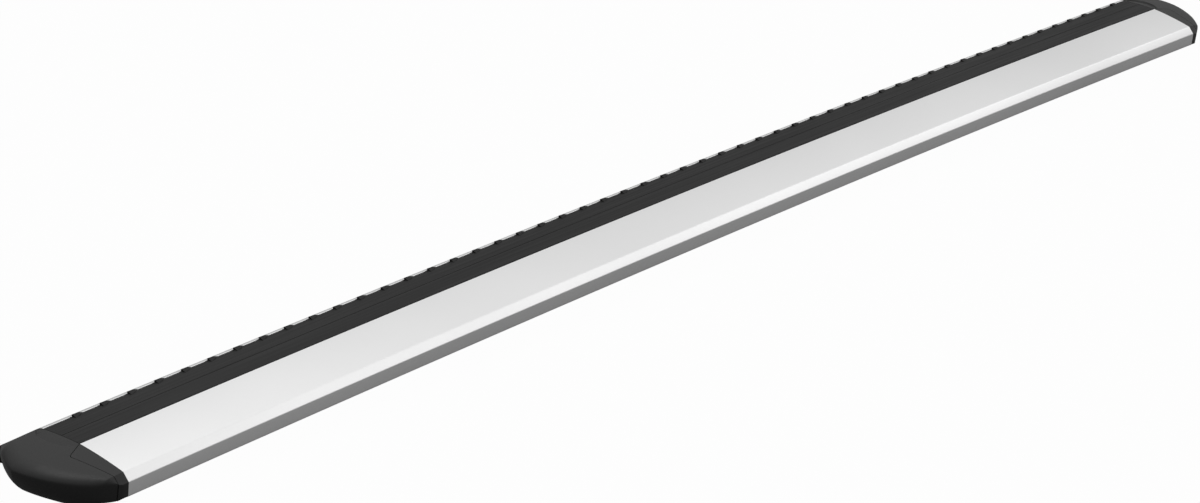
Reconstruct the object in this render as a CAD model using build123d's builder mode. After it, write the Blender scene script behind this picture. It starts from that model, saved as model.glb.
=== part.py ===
"""Roof rack crossbar of wing section, with a T-track on top and a hinged cap at each end.

Millimetres. X runs along the bar, +Y is its leading edge, +Z is up. The origin is under the
middle of the bar, half way across it, at the height of its lowest point. The bar is arched
about an axis far below it, so its two end faces lean outwards a little.
"""

import os
from math import asin, cos, degrees, radians, sin, sqrt

from build123d import *

# The bar as a whole
BAR_LENGTH = 1080.0  # aluminium from end to end, along its chord
BAR_RISE = 4.5  # height of the middle above the two ends
BAR_WIDTH = 80.0
BAR_HEIGHT = 27.0
GROUND_GAP = 0.22  # height of the aluminium's ends above the lowest point of the caps

# Outer line of the section
TRACK_Y = 3.8  # middle of the T-track, forward of the middle of the section
TRACK_EDGE_DROP = 0.4  # the slot's edges lie this far below the strips' crown
REAR_DROP = 5.6  # fall of the top face from the crown to the bevel
REAR_CROWN = 0.5  # bulge of that face above its chord
BEVEL_WIDTH = 3.8
BEVEL_HEIGHT = 4.1
REAR_EDGE_HEIGHT = 8.2  # blunt rear face below the bevel
REAR_CORNER_RADIUS = 1.5
BELLY_TURN = 0.7  # share of the run from the rear corner to the flat where the curve turns over
FLAT_REAR = 13.0  # half widths of the flat underside, from the track's middle
FLAT_FRONT = 16.0
CREST = (3.5, 1.7)  # where the front face begins: ahead of the slot, below the crown
NOSE_SHOULDER = (2.3, 12.2)  # behind the nose, above the underside
NOSE_HEIGHT = 8.4
NOSE_UNDER = (4.1, 2.7)  # behind the nose, above the underside

# Walls, tracks and screw ports inside the section
SKIN = 1.8
SLOT_WIDTH = 24.0
TRACK_WIDTH = 30.0
TRACK_HEIGHT = 7.6
LIP_HEIGHT = 3.2  # from the crown down to the underside of the track's lips
WEB = 1.8
FOOT_SLOT_WIDTH = 10.0
FOOT_TRACK_WIDTH = 20.0
FOOT_TRACK_HEIGHT = 7.4
FOOT_LIP_HEIGHT = 2.4
FOOT_ROOF = 1.6
PORT_RADIUS = 3.6
PORT_BORE_RADIUS = 2.3
PORT_OUT = 3.4  # port's middle, outwards of the web and below the track's floor

# Rubber strips
STRIP_THICKNESS = 2.2
STRIP_STEM = 1.6
STRIP_FOOT_WIDTH = 2.4  # how far it reaches under the lip
STRIP_FOOT_HEIGHT = 0.9
SLIT = 0.1
FOOT_STRIP_RECESS = 0.3
BUMP_PITCH = 20.0
BUMP_LENGTH = 9.0
BUMP_WIDTH = 3.0
BUMP_HEIGHT = 1.3
BUMP_ROOT = 0.6  # how deep a wedge is rooted in the strip
BUMP_MARGIN = 20.0  # from the bar's end to the first wedge

# End caps
CAP_LENGTH = 36.5
CAP_TIP_Y = 2.0
CAP_REAR_POWER = 1.85
CAP_FRONT_POWER = 1.3
CAP_WIDEST_HEIGHT = 20.0
CAP_TOP_SCALE = 0.9
CAP_UNDER_DEPTH = 20.6
CAP_DROOP_RADIUS = 220.0
CAP_LEVELS = (0.008, 0.08, 0.3, 0.65, 1.0)  # where its wall's outlines lie, below its widest
CAP_INNER_LEVELS = (0.05, 0.35, 1.0)  # the same, for the plainer form of its hollow
CAP_STEPS = 4  # points to a quarter of each outline
CAP_MARGIN = 0.3  # the outlines start this far outside the section
CAP_WALL = 2.2
CAP_PLATE = 3.0
CAP_BAND = 6.5
CAP_GAP = 0.3
EAR_POINT = (12.5, 17.0)  # outwards of the bar's end, and from the track's middle
EAR_SHORT = {-1: 3.3, 1: 8.2}  # each ear's outer edge meets the band this far short of the edge
EAR_RADIUS = 1.5
EAR_WALL = 1.8
SCOOP_RADIUS = 200.0  # shallow finger scoop in the lid, over the end of the slot
SCOOP_CENTRE = (-14.0, 1.2)  # outwards of the bar's end, and from the track's middle
SCOOP_DEPTH = 1.7  # at that centre, below the crown
PLUG_DEPTH = 12.0
PLUG_WALL = 1.6
PLUG_GAP = 0.25

# Hinge of the lid
HINGE_OUT = 9.4
HINGE_HEIGHT = 2.6
PIN_RADIUS = 1.0
PIN_GAP = 0.05
LUG_RADIUS = 2.2
LUG_WIDTH = 2.5
LUG_GAP = 0.3
LUG_OUT = 10.4  # inner face of the base's lug, from the track's middle
LUG_REACH = 17.0  # how far out the lid's lug runs before it meets the lid's floor
LID_SWEEP_RADIUS = 2.6  # the lid's floor ends in this round, so it turns clear of the band
LUG_NOTCH = 2.8  # the lid's floor is open this far out of the axis at each lug of the base
EAR_CLEARANCE = 0.8  # what the lid leaves below the ears, for its rise as it starts to turn

# Screws that hold the base
SCREW_LENGTH = 16.0
SCREW_HEAD_RADIUS = 4.0
SCREW_HEAD_HEIGHT = 2.6
SCREW_SHANK_GAP = 0.05
SCREW_HOLE_RADIUS = 2.8
SOCKET_RADIUS = 1.6
SOCKET_DEPTH = 1.6

# Arch: every section lies in a plane through one far axis parallel to Y
ARCH_RADIUS = BAR_LENGTH**2 / (8 * BAR_RISE) + BAR_RISE / 2
END_ANGLE = degrees(asin(BAR_LENGTH / 2 / ARCH_RADIUS))
AXIS_HEIGHT = GROUND_GAP + BAR_RISE - ARCH_RADIUS
ARCH_AXIS = Axis((0, 0, AXIS_HEIGHT), (0, 1, 0))


def arch_plane(angle):
    """The section plane at this angle from the middle: Y across, its second axis upwards."""
    lean = radians(angle)
    foot = (ARCH_RADIUS * sin(lean), 0, AXIS_HEIGHT + ARCH_RADIUS * cos(lean))
    return Plane(origin=foot, x_dir=(0, 1, 0), z_dir=(cos(lean), 0, -sin(lean)))


LEFT_END = arch_plane(-END_ANGLE)
RIGHT_END = arch_plane(END_ANGLE)

# Places in the section that several outlines share
REAR_Y = -BAR_WIDTH / 2
NOSE_Y = BAR_WIDTH / 2
SLOT_REAR_Y = TRACK_Y - SLOT_WIDTH / 2
SLOT_FRONT_Y = TRACK_Y + SLOT_WIDTH / 2
SLOT_EDGE_Z = BAR_HEIGHT - TRACK_EDGE_DROP
BEVEL_TOP = (REAR_Y + BEVEL_WIDTH, BAR_HEIGHT - REAR_DROP)
BEVEL_FOOT = (REAR_Y, BAR_HEIGHT - REAR_DROP - BEVEL_HEIGHT)
REAR_FOOT = (REAR_Y, BEVEL_FOOT[1] - REAR_EDGE_HEIGHT)
LIP_Z = BAR_HEIGHT - LIP_HEIGHT
TRACK_FLOOR_Z = LIP_Z - TRACK_HEIGHT
FOOT_ROOF_Z = FOOT_LIP_HEIGHT + FOOT_TRACK_HEIGHT
BEAM_HALF = FOOT_TRACK_WIDTH / 2 + WEB
PORT_Z = TRACK_FLOOR_Z - SKIN - PORT_OUT
PORT_YS = (TRACK_Y - BEAM_HALF - PORT_OUT, TRACK_Y + BEAM_HALF + PORT_OUT)


def box_face(y_low, y_high, z_low, z_high):
    """A rectangle of the section between two widths and two heights."""
    with BuildSketch() as face:
        with Locations(((y_low + y_high) / 2, (z_low + z_high) / 2)):
            Rectangle(y_high - y_low, z_high - z_low)
    return face.sketch


def wing_section(inset):
    """The closed line of the wing, every side of it moved in by inset."""
    slot_rear = (SLOT_REAR_Y, SLOT_EDGE_Z - inset)
    slot_front = (SLOT_FRONT_Y, SLOT_EDGE_Z - inset)
    bevel_top = (BEVEL_TOP[0] + 0.6 * inset, BEVEL_TOP[1] - inset)
    bevel_foot = (BEVEL_FOOT[0] + inset, BEVEL_FOOT[1] - 0.4 * inset)
    rear_foot = (REAR_FOOT[0] + inset, REAR_FOOT[1] + inset)
    rear_middle = (
        (slot_rear[0] + bevel_top[0]) / 2,
        (slot_rear[1] + bevel_top[1]) / 2 + REAR_CROWN,
    )
    flat_rear = (TRACK_Y - FLAT_REAR, inset)
    belly = (
        rear_foot[0] + BELLY_TURN * (flat_rear[0] - rear_foot[0]),
        rear_foot[1] + BELLY_TURN * (flat_rear[1] - rear_foot[1]),
    )
    flat_front = (TRACK_Y + FLAT_FRONT, inset)
    nose_under = (NOSE_Y - NOSE_UNDER[0] - 0.5 * inset, NOSE_UNDER[1] + 0.9 * inset)
    nose = (NOSE_Y - inset, NOSE_HEIGHT)
    shoulder = (NOSE_Y - NOSE_SHOULDER[0] - 0.6 * inset, NOSE_SHOULDER[1] - 0.8 * inset)
    crest = (SLOT_FRONT_Y + CREST[0] - 0.3 * inset, BAR_HEIGHT - CREST[1] - inset)
    face_slope = (crest[0] - shoulder[0], crest[1] - shoulder[1])
    with BuildSketch() as section:
        with BuildLine():
            ThreePointArc(slot_front, (TRACK_Y, BAR_HEIGHT - inset), slot_rear)
            ThreePointArc(slot_rear, rear_middle, bevel_top)
            Polyline(bevel_top, bevel_foot, rear_foot)
            rise = TangentArc(rear_foot, belly, tangent=(1, 0))
            TangentArc(belly, flat_rear, tangent=rise % 1)
            Line(flat_rear, flat_front)
            under = TangentArc(flat_front, nose_under, tangent=(1, 0))
            ahead = TangentArc(nose_under, nose, tangent=under % 1)
            TangentArc(nose, shoulder, tangent=ahead % 1)
            Line(shoulder, crest)
            TangentArc(crest, slot_front, tangent=face_slope)
        make_face()
        if inset < REAR_CORNER_RADIUS:
            corner = section.vertices().sort_by_distance((*rear_foot, 0))[0]
            fillet(corner, REAR_CORNER_RADIUS - inset)
    return section.sketch


# T-track and foot track, as they are cut through the bar and the cap's base
with BuildSketch() as tracks:
    add(box_face(SLOT_REAR_Y, SLOT_FRONT_Y, LIP_Z - 1, BAR_HEIGHT + 1))
    add(
        box_face(
            TRACK_Y - TRACK_WIDTH / 2,
            TRACK_Y + TRACK_WIDTH / 2,
            TRACK_FLOOR_Z,
            LIP_Z,
        )
    )
    add(
        box_face(
            TRACK_Y - FOOT_SLOT_WIDTH / 2,
            TRACK_Y + FOOT_SLOT_WIDTH / 2,
            -1,
            FOOT_LIP_HEIGHT + 1,
        )
    )
    add(
        box_face(
            TRACK_Y - FOOT_TRACK_WIDTH / 2,
            TRACK_Y + FOOT_TRACK_WIDTH / 2,
            FOOT_LIP_HEIGHT,
            FOOT_ROOF_Z,
        )
    )


def chamber_section(inset):
    """What the skin, the box beam and the screw ports leave at each side, moved in by inset."""
    shelf_half = TRACK_WIDTH / 2 + WEB + inset
    beam_half = BEAM_HALF + inset
    shelf_z = TRACK_FLOOR_Z - SKIN - inset
    with BuildSketch() as chambers:
        add(wing_section(SKIN + inset))
        add(
            box_face(TRACK_Y - shelf_half, TRACK_Y + shelf_half, shelf_z, BAR_HEIGHT),
            mode=Mode.SUBTRACT,
        )
        add(
            box_face(TRACK_Y - beam_half, TRACK_Y + beam_half, 0, shelf_z + 1),
            mode=Mode.SUBTRACT,
        )
        add(
            box_face(PORT_YS[0], PORT_YS[1], PORT_Z, shelf_z + 1),
            mode=Mode.SUBTRACT,
        )
        with Locations(*[(port_y, PORT_Z) for port_y in PORT_YS]):
            Circle(PORT_RADIUS + inset, mode=Mode.SUBTRACT)
    return chambers.sketch


with BuildSketch() as bar_section:
    add(wing_section(0))
    add(tracks.sketch, mode=Mode.SUBTRACT)
    add(chamber_section(0), mode=Mode.SUBTRACT)
    add(
        box_face(
            TRACK_Y - FOOT_TRACK_WIDTH / 2,
            TRACK_Y + FOOT_TRACK_WIDTH / 2,
            FOOT_ROOF_Z + FOOT_ROOF,
            TRACK_FLOOR_Z - SKIN,
        ),
        mode=Mode.SUBTRACT,
    )
    with Locations(*[(port_y, PORT_Z) for port_y in PORT_YS]):
        Circle(PORT_BORE_RADIUS, mode=Mode.SUBTRACT)

# Rear strip: a crowned flap, a stem down the lip and a foot under it
with BuildSketch() as rear_strip_section:
    add(
        box_face(
            SLOT_REAR_Y,
            TRACK_Y - SLIT / 2,
            BAR_HEIGHT - STRIP_THICKNESS,
            BAR_HEIGHT,
        )
    )
    add(wing_section(0), mode=Mode.INTERSECT)
    add(
        box_face(
            SLOT_REAR_Y,
            SLOT_REAR_Y + STRIP_STEM,
            LIP_Z - STRIP_FOOT_HEIGHT,
            BAR_HEIGHT - STRIP_THICKNESS,
        )
    )
    add(
        box_face(
            SLOT_REAR_Y - STRIP_FOOT_WIDTH,
            SLOT_REAR_Y + STRIP_STEM,
            LIP_Z - STRIP_FOOT_HEIGHT,
            LIP_Z,
        )
    )

ACROSS_TRACK = Plane(origin=(TRACK_Y, 0, 0), x_dir=(0, 1, 0), z_dir=(1, 0, 0))

with BuildSketch() as front_strip_section:
    mirror(rear_strip_section.sketch, about=ACROSS_TRACK)

# Underside strip: it fills the foot slot and hooks over its lips
with BuildSketch() as underside_strip_section:
    add(
        box_face(
            TRACK_Y - FOOT_SLOT_WIDTH / 2,
            TRACK_Y + FOOT_SLOT_WIDTH / 2,
            FOOT_STRIP_RECESS,
            FOOT_LIP_HEIGHT,
        )
    )
    add(
        box_face(
            TRACK_Y - FOOT_SLOT_WIDTH / 2 - STRIP_STEM,
            TRACK_Y + FOOT_SLOT_WIDTH / 2 + STRIP_STEM,
            FOOT_LIP_HEIGHT,
            FOOT_LIP_HEIGHT + STRIP_FOOT_HEIGHT,
        )
    )


def along_bar(section):
    """The section carried along the arch from one end plane to the other."""
    with BuildPart() as run:
        with BuildSketch(LEFT_END):
            add(section.sketch)
        revolve(axis=ARCH_AXIS, revolution_arc=2 * END_ANGLE)
    return run.part


with BuildPart() as bar_extrusion:
    add(along_bar(bar_section))

with BuildPart() as rear_slot_strip:
    add(along_bar(rear_strip_section))

with BuildPart() as underside_slot_strip:
    add(along_bar(underside_strip_section))

# One wedge at mid length: a triangle across the strip that tapers to a point along it
edge_z = SLOT_EDGE_Z
with BuildPart() as wedge:
    with BuildSketch(arch_plane(0)) as wedge_face:
        with BuildLine():
            Polyline(
                (SLOT_FRONT_Y, edge_z - BUMP_ROOT),
                (SLOT_FRONT_Y, edge_z + BUMP_HEIGHT),
                (SLOT_FRONT_Y - BUMP_WIDTH, edge_z - BUMP_ROOT),
                close=True,
            )
        make_face()
    wedge_tip = arch_plane(degrees(BUMP_LENGTH / ARCH_RADIUS)).from_local_coords(
        (SLOT_FRONT_Y - 0.1, edge_z - BUMP_ROOT / 2, 0)
    )
    loft(sections=[wedge_face.sketch.face(), Vertex(*wedge_tip)])

BUMP_COUNT = int((BAR_LENGTH - 2 * BUMP_MARGIN) / BUMP_PITCH) + 1
bump_angle = degrees(BUMP_PITCH / ARCH_RADIUS)
first_angle = degrees(BUMP_MARGIN / ARCH_RADIUS) - END_ANGLE

with BuildPart() as front_slot_strip:
    add(along_bar(front_strip_section))
    for index in range(BUMP_COUNT):
        add(wedge.part.rotate(ARCH_AXIS, first_angle + index * bump_angle))


# The right cap is modelled outwards from RIGHT_END, and mirrored for the left end
def level_plane(height):
    """A plane over the cap at this height of the section: outwards, then across."""
    return Plane(
        origin=RIGHT_END.from_local_coords((0, height, 0)),
        x_dir=RIGHT_END.z_dir,
        z_dir=RIGHT_END.y_dir,
    )


def cap_reach(height, inset):
    """How far the cap's wall stands out at this height, of its widest reach."""
    if height > CAP_WIDEST_HEIGHT:
        rise = (height - CAP_WIDEST_HEIGHT) / (BAR_HEIGHT - CAP_WIDEST_HEIGHT)
        return 1 - (1 - CAP_TOP_SCALE) * rise**2
    fall = (CAP_WIDEST_HEIGHT - height) / (CAP_UNDER_DEPTH - inset)
    return sqrt(max(1 - fall**2, 0.01))


def cap_outline(height, inset):
    """Plan of the cap's wall: two quarters of a superellipse that meet at the tip."""
    reach = (CAP_LENGTH - inset) * cap_reach(height, inset)
    rear_half = CAP_TIP_Y - REAR_Y + CAP_MARGIN - inset
    front_half = NOSE_Y - CAP_TIP_Y + CAP_MARGIN - inset
    quarter = [radians(90 * step / CAP_STEPS) for step in range(CAP_STEPS + 1)]
    rear = [
        (
            reach * sin(turn) ** (2 / CAP_REAR_POWER),
            CAP_TIP_Y - rear_half * cos(turn) ** (2 / CAP_REAR_POWER),
        )
        for turn in quarter
    ]
    front = [
        (
            reach * sin(turn) ** (2 / CAP_FRONT_POWER),
            CAP_TIP_Y + front_half * cos(turn) ** (2 / CAP_FRONT_POWER),
        )
        for turn in reversed(quarter[:-1])
    ]
    return rear + front


def cap_dome(inset, shares, ruled):
    """The cap's rounded form, every face moved in by inset: its wall, cut by the bar's section."""
    floor = CAP_WIDEST_HEIGHT - CAP_UNDER_DEPTH + inset
    levels = [floor + share * (CAP_WIDEST_HEIGHT - floor) for share in shares]
    levels.append(BAR_HEIGHT + 1)
    with BuildPart() as wall:
        for height in levels:
            outline = cap_outline(height, inset)
            rear_start = (-CAP_BAND, outline[0][1])
            front_start = (-CAP_BAND, outline[-1][1])
            with BuildSketch(level_plane(height)):
                with BuildLine():
                    Spline(*outline, tangents=((1, 0), (-1, 0)))
                    Polyline(outline[-1], front_start, rear_start, outline[0])
                make_face()
        loft(ruled=ruled)
    droop_foot = RIGHT_END.from_local_coords((0, BAR_HEIGHT - CAP_DROOP_RADIUS, 0))
    with BuildPart() as dome:
        with BuildSketch(RIGHT_END):
            add(wing_section(inset))
        revolve(
            axis=Axis(droop_foot, (0, 1, 0)),
            revolution_arc=degrees(1.2 * CAP_LENGTH / CAP_DROOP_RADIUS),
        )
        add(wall.part, mode=Mode.INTERSECT)
    return dome.part


def across_block(low, high):
    """A block over the right end, between two corners given outwards, across and up."""
    with BuildPart() as block:
        with BuildSketch(level_plane(low[2])):
            with Locations(((low[0] + high[0]) / 2, (low[1] + high[1]) / 2)):
                Rectangle(high[0] - low[0], high[1] - low[1])
        extrude(amount=high[2] - low[2])
    return block.part


def hinge_rod(radius, y_low, y_high):
    """A round rod on the hinge's axis between two places across the bar."""
    start = RIGHT_END.from_local_coords((y_low, HINGE_HEIGHT, HINGE_OUT))
    with BuildPart() as rod:
        with BuildSketch(Plane(origin=start, x_dir=(0, 0, 1), z_dir=(0, 1, 0))):
            Circle(radius)
        extrude(amount=y_high - y_low)
    return rod.part


def across_track(side, near, far):
    """Two places across the bar, measured from the track's middle to one side, in order."""
    return sorted((TRACK_Y + side * near, TRACK_Y + side * far))


def ear_zone(gap):
    """Plan of what the base keeps beside the slot: an ear each side, grown by gap."""
    with BuildSketch() as zone:
        for side in (-1, 1):
            ear_end = side * (BAR_WIDTH / 2 - EAR_SHORT[side])
            with BuildLine():
                Polyline(
                    (-CAP_BAND, TRACK_Y + side * SLOT_WIDTH / 2),
                    (0, TRACK_Y + side * SLOT_WIDTH / 2),
                    (EAR_POINT[0], TRACK_Y + side * EAR_POINT[1]),
                    (CAP_BAND, ear_end),
                    (CAP_BAND, TRACK_Y + side * BAR_WIDTH),
                    (-CAP_BAND, TRACK_Y + side * BAR_WIDTH),
                    close=True,
                )
            make_face()
        points = zone.vertices().group_by(Axis.X)[-1]
        fillet(points, EAR_RADIUS)
        if gap:
            offset(amount=gap, kind=Kind.INTERSECTION)
    return zone.sketch


outer_dome = cap_dome(0, CAP_LEVELS, False)
inner_dome = cap_dome(CAP_WALL, CAP_INNER_LEVELS, True)
ALL_Y = (-BAR_WIDTH, BAR_WIDTH)

# What the base keeps of the cap: the band next to the bar, and an ear each side of the slot
with BuildPart() as base_zone:
    add(
        across_block((-1, ALL_Y[0], -BAR_HEIGHT), (CAP_BAND, ALL_Y[1], TRACK_FLOOR_Z))
    )
    with BuildSketch(level_plane(TRACK_FLOOR_Z)):
        add(ear_zone(0))
    extrude(amount=BAR_HEIGHT)

# A rib under the inner edge of each ear, beside the way into the T-track
with BuildPart() as ear_ribs:
    with BuildSketch(level_plane(TRACK_FLOOR_Z)):
        for side in (-1, 1):
            slot_edge = TRACK_Y + side * SLOT_WIDTH / 2
            ear_edge = TRACK_Y + side * EAR_POINT[1]
            with BuildLine():
                Polyline(
                    (0, slot_edge + side * (TRACK_WIDTH - SLOT_WIDTH) / 2),
                    (EAR_POINT[0], ear_edge),
                    (EAR_POINT[0], ear_edge + side * EAR_WALL),
                    (0, slot_edge + side * ((TRACK_WIDTH - SLOT_WIDTH) / 2 + EAR_WALL)),
                    close=True,
                )
            make_face()
    extrude(amount=BAR_HEIGHT)
    add(base_zone.part, mode=Mode.INTERSECT)
    add(outer_dome, mode=Mode.INTERSECT)

# Moulded base: band and ears of the cap's skin, a plate with both tracks, plugs and hinge lugs
with BuildPart() as right_cap_base:
    add(outer_dome)
    add(inner_dome, mode=Mode.SUBTRACT)
    with BuildSketch(RIGHT_END):
        add(wing_section(CAP_WALL / 2))
    extrude(amount=CAP_PLATE)
    add(base_zone.part, mode=Mode.INTERSECT)
    add(ear_ribs.part)
    with BuildSketch(RIGHT_END):
        add(chamber_section(PLUG_GAP))
        add(chamber_section(PLUG_GAP + PLUG_WALL), mode=Mode.SUBTRACT)
    extrude(amount=-PLUG_DEPTH)
    for side in (-1, 1):
        low_y, high_y = across_track(side, LUG_OUT, LUG_OUT + LUG_WIDTH)
        add(
            across_block(
                (CAP_PLATE / 2, low_y, HINGE_HEIGHT - LUG_RADIUS),
                (HINGE_OUT, high_y, HINGE_HEIGHT + LUG_RADIUS),
            )
        )
        add(hinge_rod(LUG_RADIUS, low_y, high_y))
        add(hinge_rod(PIN_RADIUS, low_y, high_y), mode=Mode.SUBTRACT)
    with BuildSketch(RIGHT_END.offset(CAP_PLATE)):
        add(tracks.sketch)
    extrude(amount=-2 * CAP_PLATE, mode=Mode.SUBTRACT)
    with BuildSketch(RIGHT_END.offset(CAP_PLATE)):
        with Locations(*[(port_y, PORT_Z) for port_y in PORT_YS]):
            Circle(SCREW_HOLE_RADIUS)
    extrude(amount=-CAP_PLATE, mode=Mode.SUBTRACT)

# Moulded lid: the rest of the cap's skin, with a tongue over the slot and a lug on each pin
with BuildPart() as lid_clearance:
    add(across_block((-1, ALL_Y[0], -BAR_HEIGHT), (CAP_GAP, ALL_Y[1], 2 * BAR_HEIGHT)))
    add(
        across_block(
            (-1, ALL_Y[0], -BAR_HEIGHT),
            (CAP_BAND + CAP_GAP, ALL_Y[1], TRACK_FLOOR_Z + CAP_GAP),
        )
    )
    with BuildSketch(level_plane(TRACK_FLOOR_Z - EAR_CLEARANCE)):
        add(ear_zone(CAP_GAP))
    extrude(amount=BAR_HEIGHT)

with BuildPart() as sweep_clearance:
    add(across_block((-1, ALL_Y[0], -BAR_HEIGHT), (HINGE_OUT, ALL_Y[1], HINGE_HEIGHT)))
    add(hinge_rod(LID_SWEEP_RADIUS, *ALL_Y), mode=Mode.SUBTRACT)


def lid_lug(side):
    """The lid's lug on this side: an eye round the pin and an arm along the lid's floor."""
    near = LUG_OUT + LUG_WIDTH + LUG_GAP
    low_y, high_y = across_track(side, near, near + LUG_WIDTH)
    with BuildPart() as lug:
        add(
            across_block(
                (HINGE_OUT, low_y, HINGE_HEIGHT - LUG_RADIUS),
                (LUG_REACH, high_y, HINGE_HEIGHT + LUG_RADIUS),
            )
        )
        add(outer_dome, mode=Mode.INTERSECT)
        add(hinge_rod(LUG_RADIUS, low_y, high_y))
    return lug.part


with BuildPart() as right_cap_lid:
    add(outer_dome)
    add(inner_dome, mode=Mode.SUBTRACT)
    add(lid_clearance.part, mode=Mode.SUBTRACT)
    add(sweep_clearance.part, mode=Mode.SUBTRACT)
    for side in (-1, 1):
        low_y, high_y = across_track(side, LUG_OUT - LUG_GAP, LUG_OUT + LUG_WIDTH + LUG_GAP)
        add(
            across_block(
                (-1, low_y, -BAR_HEIGHT),
                (HINGE_OUT + LUG_NOTCH, high_y, HINGE_HEIGHT + LUG_RADIUS + LUG_GAP),
            ),
            mode=Mode.SUBTRACT,
        )
        add(lid_lug(side))
    add(hinge_rod(PIN_RADIUS + PIN_GAP, *ALL_Y), mode=Mode.SUBTRACT)
    scoop_height = BAR_HEIGHT - SCOOP_DEPTH + SCOOP_RADIUS
    scoop_place = (TRACK_Y + SCOOP_CENTRE[1], scoop_height, SCOOP_CENTRE[0])
    with Locations(RIGHT_END.from_local_coords(scoop_place)):
        Sphere(SCOOP_RADIUS, mode=Mode.SUBTRACT)

# Hinge pins, one through each pair of lugs
with BuildPart() as right_hinge_pins:
    for side in (-1, 1):
        far = LUG_OUT + 2 * LUG_WIDTH + LUG_GAP
        add(hinge_rod(PIN_RADIUS, *across_track(side, LUG_OUT, far)))

# Screws through the base into the bar's screw ports
with BuildPart() as right_cap_screws:
    seats = [(port_y, PORT_Z) for port_y in PORT_YS]
    with BuildSketch(RIGHT_END.offset(CAP_PLATE)):
        with Locations(*seats):
            Circle(SCREW_HEAD_RADIUS)
    extrude(amount=SCREW_HEAD_HEIGHT)
    with BuildSketch(RIGHT_END.offset(CAP_PLATE)):
        with Locations(*seats):
            Circle(PORT_BORE_RADIUS - SCREW_SHANK_GAP)
    extrude(amount=-SCREW_LENGTH)
    with BuildSketch(RIGHT_END.offset(CAP_PLATE + SCREW_HEAD_HEIGHT)):
        with Locations(*seats):
            RegularPolygon(SOCKET_RADIUS, 6)
    extrude(amount=-SOCKET_DEPTH, mode=Mode.SUBTRACT)

with BuildPart() as left_cap_base:
    mirror(right_cap_base.part, about=Plane.YZ)

with BuildPart() as left_cap_lid:
    mirror(right_cap_lid.part, about=Plane.YZ)

with BuildPart() as left_hinge_pins:
    mirror(right_hinge_pins.part, about=Plane.YZ)

with BuildPart() as left_cap_screws:
    mirror(right_cap_screws.part, about=Plane.YZ)

pieces = {
    "bar_extrusion": bar_extrusion,
    "front_slot_strip": front_slot_strip,
    "rear_slot_strip": rear_slot_strip,
    "underside_slot_strip": underside_slot_strip,
    "left_cap_base": left_cap_base,
    "left_cap_lid": left_cap_lid,
    "left_hinge_pins": left_hinge_pins,
    "left_cap_screws": left_cap_screws,
    "right_cap_base": right_cap_base,
    "right_cap_lid": right_cap_lid,
    "right_hinge_pins": right_hinge_pins,
    "right_cap_screws": right_cap_screws,
}
os.makedirs("parts", exist_ok=True)
for name, piece in pieces.items():
    piece.part.label = name
    export_step(piece.part, f"parts/{name}.step")
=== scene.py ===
"""Roof rack crossbar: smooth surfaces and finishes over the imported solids, and the studio.

The aluminium section, the rubber strips and the lids of the end caps are worked out as whole
arrays, in millimetres, and stand for the solids that they replace. The bases of the caps, their
pins and their screws stay as packed, with finishes of their own.
"""

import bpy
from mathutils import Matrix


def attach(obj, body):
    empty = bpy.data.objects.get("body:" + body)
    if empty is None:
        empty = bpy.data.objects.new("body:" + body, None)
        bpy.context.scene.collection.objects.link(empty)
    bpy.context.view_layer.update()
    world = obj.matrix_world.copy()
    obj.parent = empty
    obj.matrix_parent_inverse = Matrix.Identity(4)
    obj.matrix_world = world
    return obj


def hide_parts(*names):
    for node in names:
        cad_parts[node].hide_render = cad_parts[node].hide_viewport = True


bl_info = {
    "name": "Roof Rack Crossbar",
    "version": (1, 0, 0),
    "blender": (4, 5, 0),
    "location": "3D View > Sidebar > Crossbar",
    "description": "Builds the surfaces, finishes and studio of an aluminium roof rack crossbar",
    "category": "Add Mesh",
}

from math import asin, cos, pi, radians, sin, tan

import bmesh
import bpy
import numpy as np
from bpy.props import FloatProperty, FloatVectorProperty, IntProperty, PointerProperty
from mathutils import Matrix
from mathutils.geometry import tessellate_polygon

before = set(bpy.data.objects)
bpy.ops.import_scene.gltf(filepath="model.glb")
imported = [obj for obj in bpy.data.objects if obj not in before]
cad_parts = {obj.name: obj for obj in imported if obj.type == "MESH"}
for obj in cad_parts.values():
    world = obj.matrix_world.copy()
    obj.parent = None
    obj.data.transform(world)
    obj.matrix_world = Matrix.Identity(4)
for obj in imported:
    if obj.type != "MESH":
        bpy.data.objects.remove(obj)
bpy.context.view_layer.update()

MM = 0.001

# Corners of a mesh closer than this are one corner, in metres
SAME_PLACE = 0.000002

# The section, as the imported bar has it: across the bar, then up from its flat underside
TRACK_Y = 3.8
REAR_Y = -40.0
NOSE_Y = 40.0
BAR_TOP = 27.0
SLOT_HALF = 12.0
SLOT_EDGE_Z = 26.6
BEVEL_TOP = (-36.2, 21.4)
BEVEL_FOOT = (-40.0, 17.3)
REAR_FOOT = (-40.0, 9.1)
REAR_RADIUS = 1.45
REAR_CROWN = 0.5
FLAT_REAR = (-9.2, 0.0)
FLAT_FRONT = (19.8, 0.0)
BELLY_TURN = 0.7
NOSE_UNDER = (35.9, 2.7)
NOSE_TIP = (40.0, 8.4)
SHOULDER = (37.7, 12.2)
CREST = (19.3, 25.3)
TRACK_HALF = 15.0
LIP_Z = 23.8
TRACK_FLOOR_Z = 16.2
FOOT_SLOT_HALF = 5.0
FOOT_HALF = 10.0
FOOT_LIP_Z = 2.4
FOOT_ROOF_Z = 9.8
FOOT_ROOF_SKIN = 1.6
REAR_CLEAR = 3.0
SKIN = 1.8
BEAM_HALF = 11.8
SHELF_HALF = 16.8
PORT_Z = 11.0
PORT_OUT = 15.2
PORT_RADIUS = 3.6
PORT_BORE = 2.3

# The rubber strips: the grooves beside the aluminium and in the middle, the rounding of their
# edges, and how far from the bar's ends the row of wedges starts
STRIP_GROOVE = 0.6
STRIP_SLIT = 0.08
STRIP_EASE = 0.3
WEDGE_MARGIN = 20.0

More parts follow.
